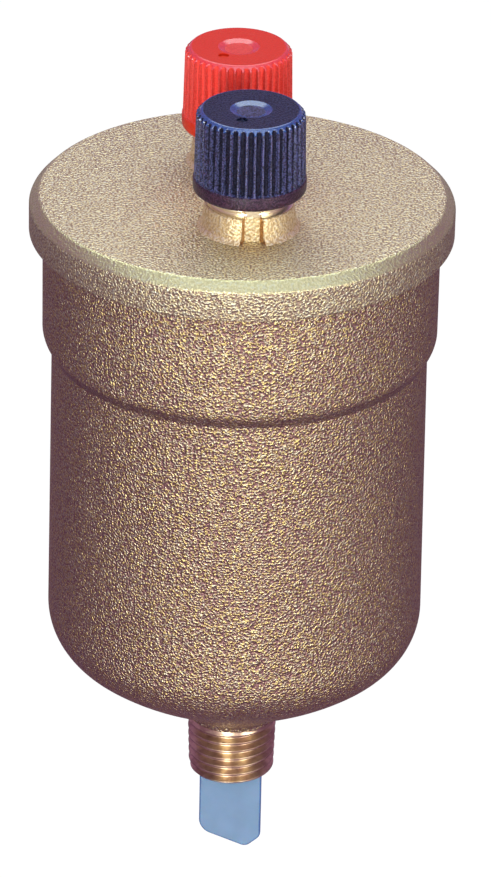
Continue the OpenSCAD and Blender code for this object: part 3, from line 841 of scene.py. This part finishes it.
# The slot's leaning sides get the finish with painted shade.
def port_zone(middle):
    if middle.z > boss_z:
        return STEM
    aside = abs(middle.x) - SLOT_HALF
    off_side = abs(middle.y + SLOT_FLOOR + aside / SLOT_LEAN)
    return SLOT_SIDE if aside > 0 and off_side < ON_SIDE else BOSS


# %% Two ports
for name, side in (("vent_port", -1), ("manual_port", 1)):
    post = port_post()
    cut_slot(post)
    paint(post, port_zone)
    about_face = Matrix.Rotation(math.pi if side > 0 else 0, 4, "Z")
    bmesh.ops.transform(post, matrix=Matrix.Translation((0, side * PORT_Y, 0)) @ about_face, verts=post.verts)
    hand_over(name, post, "housing", [STEM_LIT_BRASS, PORT_CAST, SLOT_SHADE_CAST])

# %% [markdown]
# ## Caps
# A cap is a turned cup with 42 flutes for the fingers. The cup is spun with a whole number of steps
# to a flute and with close rows, and then each vertex that lies inside a flute's round cutter is
# pushed back to the cutter's wall. The cutters leave arches on the sloping shoulder, as on the
# real cap, and end in a ball above the rim. Each face then gets the finish of its place: the dish in
# the crown has a polished wall with the shoulder's finish, which on the dark cap carries a painted
# highlight, and a floor as grainy as the ribs. The small round mark where the plastic entered the
# mould is cut into the flat of the crown: the flat is taken out, filled again round the mark's
# circle, and the circle is drawn down.

# %% Cap sizes
CAP_R = 8.35 * MM
CAP_RIM_H = 2.3 * MM
CAP_RIM_ROUND = 0.8 * MM
CAP_RIM_STEP = 0.15 * MM
CAP_STEP_ROUND = 0.1 * MM
CAP_DRAFT = 0.2 * MM
SHOULDER_W = 0.8 * MM
SHOULDER_H = 0.8 * MM
SHOULDER_ROUND = 0.12 * MM
CAP_BORE_R = 6.6 * MM
CAP_CROWN = 3.2 * MM
DISH_R = 3.1 * MM
DISH_DEPTH = 0.35 * MM
DISH_SLOPE = 1.0 * MM
DISH_ROUND = 0.1 * MM
FLAT_EDGE = 0.05 * MM
FLUTES = 42
FLUTE_R = 0.43 * MM
FLUTE_DEPTH = 0.75 * MM
cap_z = cap_low.z
cap_top = cap_high.z
rim_z = cap_z + CAP_RIM_H
rib_r = CAP_R - CAP_RIM_STEP
shoulder_r = rib_r - CAP_DRAFT
shoulder_z = cap_top - SHOULDER_H
flat_in = DISH_R + DISH_ROUND + FLAT_EDGE
flat_out = shoulder_r - SHOULDER_W - SHOULDER_ROUND - FLAT_EDGE
print("flutes are", round(FULL_TURN * rib_r / FLUTES / MM, 2), "mm apart")

# %% Cap cup
FLUTE_STEPS = 10
CAP_ROW = 0.14 * MM
WALL_ROWS = 6


def cap_cup():
    """A cap without its flutes, with close rows where they will be pressed in."""
    bm = section([
        (0, cap_top - DISH_DEPTH, 0),
        (DISH_R - DISH_SLOPE, cap_top - DISH_DEPTH, DISH_ROUND),
        (DISH_R, cap_top, DISH_ROUND),
        (flat_in, cap_top, 0),
        (flat_out, cap_top, 0),
        (shoulder_r - SHOULDER_W, cap_top, SHOULDER_ROUND),
        (shoulder_r, shoulder_z, SHOULDER_ROUND),
        (rib_r, rim_z + FLUTE_R, 0),
        (rib_r, rim_z, 0),
        (CAP_R, rim_z - CAP_RIM_STEP, CAP_STEP_ROUND),
        (CAP_R, cap_z, CAP_RIM_ROUND),
        (CAP_BORE_R, cap_z, EDGE),
        (CAP_BORE_R, cap_top - CAP_CROWN, EDGE),
        (0, cap_top - CAP_CROWN, 0),
    ])
    for edge in bm.edges[:]:
        outside = min(vert.co.x for vert in edge.verts) > flat_out - MERGE
        above = max(vert.co.z for vert in edge.verts) > rim_z
        plain_wall = edge.calc_length() > cap_top - rim_z - 2 * SHOULDER_H
        rows = WALL_ROWS if plain_wall else int(edge.calc_length() / CAP_ROW)
        if outside and above and rows:
            bmesh.ops.subdivide_edges(bm, edges=[edge], cuts=rows)
    return turn(bm, FLUTES * FLUTE_STEPS)


# %% Cap flutes
TOP, SHOULDER, RIBS, IN_FLUTE, RIM = range(5)


def cap_zone(middle):
    """Any zone but the flutes, whose faces are known from the pressing."""
    radius = middle.xy.length
    if radius < DISH_R and middle.z > cap_top - CAP_CROWN / 2:
        return SHOULDER if radius > DISH_R - DISH_SLOPE else RIBS
    if middle.z > shoulder_z and radius > flat_out:
        return SHOULDER
    if radius < CAP_BORE_R + EDGE:
        return TOP
    return RIBS if middle.z > rim_z else RIM


def press_flutes(bm):
    """Presses the flutes into a cup and returns the vertices that moved."""
    pressed = set()
    axis_r = rib_r + FLUTE_R - FLUTE_DEPTH
    ball_z = rim_z + FLUTE_R
    for vert in bm.verts:
        radius = vert.co.xy.length
        if radius < shoulder_r - SHOULDER_W or vert.co.z < rim_z - MERGE:
            continue
        flute = math.atan2(vert.co.y, vert.co.x) * FLUTES / FULL_TURN
        off = (flute - round(flute)) * FULL_TURN / FLUTES
        aside = axis_r * math.sin(off)
        below = max(ball_z - vert.co.z, 0)
        reach = FLUTE_R ** 2 - aside ** 2 - below ** 2
        floor = axis_r * math.cos(off) - math.sqrt(max(reach, 0))
        if reach > 0 and floor < radius:
            set_radius(vert, floor)
            pressed.add(vert)
    return pressed


# %% Gate mark
GATE_R = 0.82 * MM
GATE_OFFSET = 4.12 * MM
GATE_STEPS = 32
FACING_UP = 0.9


def only(geometry, kind):
    """The vertices, edges or faces in the result of an operator."""
    return [part for part in geometry if isinstance(part, kind)]


def cut_gate(bm, gate_turn):
    """Cuts the round mark; gate_turn is its direction from the front."""
    level = [face for face in bm.faces if face.normal.z > FACING_UP]
    flat = [face for face in level if flat_in < face.calc_center_median().xy.length < flat_out]
    bmesh.ops.delete(bm, geom=flat, context="FACES")
    middle = direction(gate_turn, 0) * GATE_OFFSET + Vector((0, 0, cap_top))
    bmesh.ops.create_circle(bm, radius=GATE_R, segments=GATE_STEPS, matrix=Matrix.Translation(middle))
    circle = [edge for edge in bm.edges if edge.is_wire]
    rims = [edge for edge in bm.edges if edge.is_boundary]
    bmesh.ops.triangle_fill(bm, edges=circle + rims, use_beauty=True)
    drawn = bmesh.ops.extrude_edge_only(bm, edges=circle)["geom"]
    bmesh.ops.translate(bm, vec=(0, 0, -DISH_DEPTH), verts=only(drawn, bmesh.types.BMVert))
    bmesh.ops.contextual_create(bm, geom=only(drawn, bmesh.types.BMEdge))
    bmesh.ops.recalc_face_normals(bm, faces=bm.faces)


# %% Two caps
dark = [DARK_CAP, DARK_SHOULDER_LIT, DARK_RIBS, DARK_FLUTES_SHADED, DARK_RIM]
red = [RED_CAP, RED_EDGE, RED_RIBS, RED_FLUTES_LIT, RED_CAP]
for name, body, slot, materials, side, gate_turn in (
    ("vent_cap_moulding", "vent_cap", "dark_cap_plastic", dark, -1, math.radians(-23)),
    ("manual_cap_moulding", "manual_cap", "red_cap_plastic", red, 1, math.radians(-38)),
):
    cup = cap_cup()
    pressed = press_flutes(cup)
    paint(cup, cap_zone)
    # Flute faces get the flute finish: painted shade on the dark cap, painted light on the red one.
    for face in cup.faces:
        if pressed.issuperset(face.verts):
            face.material_index = IN_FLUTE
    cut_gate(cup, gate_turn)
    bmesh.ops.translate(cup, vec=(0, side * PORT_Y, 0), verts=cup.verts)
    hand_over(name, cup, body, materials, [body])

# %% [markdown]
# ## Drain tongue
# The tongue is punched from sheet: a T whose head rests on the chamber floor and whose slanted end
# hangs out of the inlet. It starts as one face, its corners are rounded with a vertex bevel,
# and then it is extruded to its thickness and its edges are broken.

# %% Drain tongue
tongue_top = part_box("drain_tongue")[1].z
TONGUE_HALF = 4.85 * MM
TONGUE_T = 1 * MM
TONGUE_TURN = math.radians(-10)
TONGUE_TIP_X = 2.6 * MM
TONGUE_REACH = 14.6 * MM
TONGUE_RISE_LEFT = 2.7 * MM
TONGUE_RISE_RIGHT = 2 * MM
LEFT_ROUND = 1.68 * MM
TIP_ROUND = 0.77 * MM
RIGHT_ROUND = 0.58 * MM
TONGUE_EDGE = 0.24 * MM
TONGUE_EDGE_STEPS = 3
FLAT_FACE = 0.99
SHEET, CUT_EDGE = range(2)
HEAD_HALF = 7 * MM
HEAD_H = 2.2 * MM
head_z = tongue_top - HEAD_H


def drain_tongue():
    bm = bmesh.new()
    tip_z = NIPPLE_Z - TONGUE_REACH
    corners = [
        (-HEAD_HALF, tongue_top, EDGE),
        (-HEAD_HALF, head_z, EDGE),
        (-TONGUE_HALF, head_z, 0),
        (-TONGUE_HALF, tip_z + TONGUE_RISE_LEFT, LEFT_ROUND),
        (TONGUE_TIP_X, tip_z, TIP_ROUND),
        (TONGUE_HALF, tip_z + TONGUE_RISE_RIGHT, RIGHT_ROUND),
        (TONGUE_HALF, head_z, 0),
        (HEAD_HALF, head_z, EDGE),
        (HEAD_HALF, tongue_top, EDGE),
    ]
    points = [bm.verts.new((across, -TONGUE_T / 2, height)) for across, height, rounding in corners]
    bm.faces.new(points)
    round_corners(bm, points, corners)
    back = bmesh.ops.extrude_face_region(bm, geom=bm.faces[:])["geom"]
    bmesh.ops.translate(bm, vec=(0, TONGUE_T, 0), verts=only(back, bmesh.types.BMVert))
    bmesh.ops.recalc_face_normals(bm, faces=bm.faces)
    outline = [edge for edge in bm.edges if abs(edge.verts[0].co.y - edge.verts[1].co.y) < MERGE]
    bmesh.ops.bevel(bm, geom=outline, offset=TONGUE_EDGE, offset_type="OFFSET", affect="EDGES",
                    segments=TONGUE_EDGE_STEPS, profile=0.5, material=-1)
    for face in bm.faces:
        face.material_index = CUT_EDGE if abs(face.normal.y) < FLAT_FACE else SHEET
    bmesh.ops.rotate(bm, cent=(0, 0, 0), matrix=Matrix.Rotation(TONGUE_TURN, 3, "Z"), verts=bm.verts)
    return bm


hand_over("drain_strip", drain_tongue(), "housing", [TONGUE, TONGUE_RIM], ["drain_tongue"])

# %% [markdown]
# ## Hidden mechanism
# The float, lever, nozzle and seals keep their own meshes, because their shapes are right. Each gets
# the finish that the record's material slot names.

# %% Finishes of the hidden pieces
FINISHES = {
    "cast_brass": CAST,
    "machined_brass": MACHINED,
    "dark_cap_plastic": DARK_CAP,
    "red_cap_plastic": RED_CAP,
    "black_rubber": RUBBER,
    "fibre_red": FIBRE,
    "stainless_sheet": STEEL,
    "float_plastic": FLOAT,
    "tongue_plastic": TONGUE,
}
for subpart in frame["record"]["subparts"]:
    for slot in frame["nodes"][subpart["node"]].material_slots:
        slot.material = FINISHES[subpart["material_slot"]]

# %% [markdown]
# ## Floor and velvet
# The floor is a big pale disc that the camera sees as white paper. The share of emission that makes
# it white also counts for reflections, and the rest of it is plain diffuse, which keeps the
# soft shadow. Photographers lay dark velvet round polished metal, out of sight, to keep its sides
# dark and its form clear. The velvet here is a plum-coloured disc just over the floor that the
# camera doesn't see.

# %% Floor
FLOOR_DROP = 110 * MM
FLOOR_R = 6
DISC_STEPS = 96
PAPER_SHARE = 0.94
PAPER_WHITE = 1.05
VELVET_R = 1.8
VELVET_LIFT = 2 * MM
floor_z = cad_low.z - FLOOR_DROP


def white_paper(wire):
    seen = wire.node("ShaderNodeLightPath", output="Is Camera Ray")
    glossy = wire.node("ShaderNodeLightPath", output="Is Glossy Ray")
    through = wire.node("ShaderNodeLightPath", output="Is Transmission Ray")
    paper = wire.node("ShaderNodeBsdfDiffuse", inputs={"Color": colour(0.85, 0.85, 0.85)})
    white = wire.node("ShaderNodeEmission", inputs={"Strength": PAPER_WHITE})
    share = (seen + glossy + through) * PAPER_SHARE
    return wire.node("ShaderNodeMixShader", inputs={0: share, 1: paper, 2: white})


def velvet(wire):
    return wire.node("ShaderNodeBsdfDiffuse", inputs={"Color": colour(0.14, 0.06, 0.14)})


def disc(name, radius, height, material):
    bm = bmesh.new()
    bmesh.ops.create_circle(bm, cap_ends=True, radius=radius, segments=DISC_STEPS)
    bmesh.ops.translate(bm, vec=(0, 0, height), verts=bm.verts)
    made = add_object(name, mesh_of(name, bm, [material]))
    return made


disc("floor", FLOOR_R, floor_z, finish("white_paper", white_paper))
cloth = disc("velvet", VELVET_R, floor_z + VELVET_LIFT, finish("velvet", velvet))
cloth.visible_camera = False
cloth.visible_shadow = False
print("floor at", round(floor_z / MM, 1), "mm")

# %% [markdown]
# ## Lamps
# Metal shows what it mirrors. From this camera the upright walls mirror what stands low in front and
# the cover mirrors what stands behind, so two low boxes and a back box light the brass. Two upright
# boxes left and right of the camera draw the pair of streaks on the thread, and a box overhead draws
# the strip of the flange. The room itself is dim and violet, which colours the shaded sides.

# %% Lamps
WHITE = (1.0, 1.0, 1.0)
WARM = (1.0, 0.97, 0.85)
GREENISH = (0.86, 1.0, 0.96)
SKY = (0.70, 0.90, 1.0)


def soft_box(name, azimuth, elevation, distance, width, height, power, tone):
    data = bpy.data.lights.new(name, "AREA")
    data.shape = "RECTANGLE"
    data.size = width
    data.size_y = height
    data.energy = power
    data.color = tone
    lamp = add_object(name, data)
    lamp.matrix_world = looking_back(direction(math.radians(azimuth), math.radians(elevation)), distance)
    lamp.visible_camera = False
    print(name, power, "W")


soft_box("left_box", azimuth=-18, elevation=8, distance=0.45,
         width=0.1, height=0.45, power=1.6, tone=WHITE)
soft_box("right_box", azimuth=28, elevation=8, distance=0.45,
         width=0.1, height=0.45, power=0.8, tone=WHITE)
soft_box("front_left_box", azimuth=-24, elevation=3, distance=0.9,
         width=0.3, height=0.26, power=1.9, tone=WARM)
soft_box("front_right_box", azimuth=36, elevation=3, distance=0.9,
         width=0.32, height=0.26, power=2.1, tone=WARM)
soft_box("back_box", azimuth=180, elevation=68, distance=0.8,
         width=0.9, height=0.6, power=5.2, tone=GREENISH)
soft_box("top_box", azimuth=0, elevation=63, distance=0.9,
         width=2.6, height=0.26, power=5.4, tone=SKY)

# %% Room
ROOM_TONE = colour(0.86, 0.45, 0.98)
ROOM_LIGHT = 0.42
world = bpy.data.worlds.new("room")
bpy.context.scene.world = world
world.use_nodes = True
room = world.node_tree.nodes["Background"]
room.inputs["Color"].default_value = ROOM_TONE
room.inputs["Strength"].default_value = ROOM_LIGHT
print("room light:", ROOM_LIGHT)
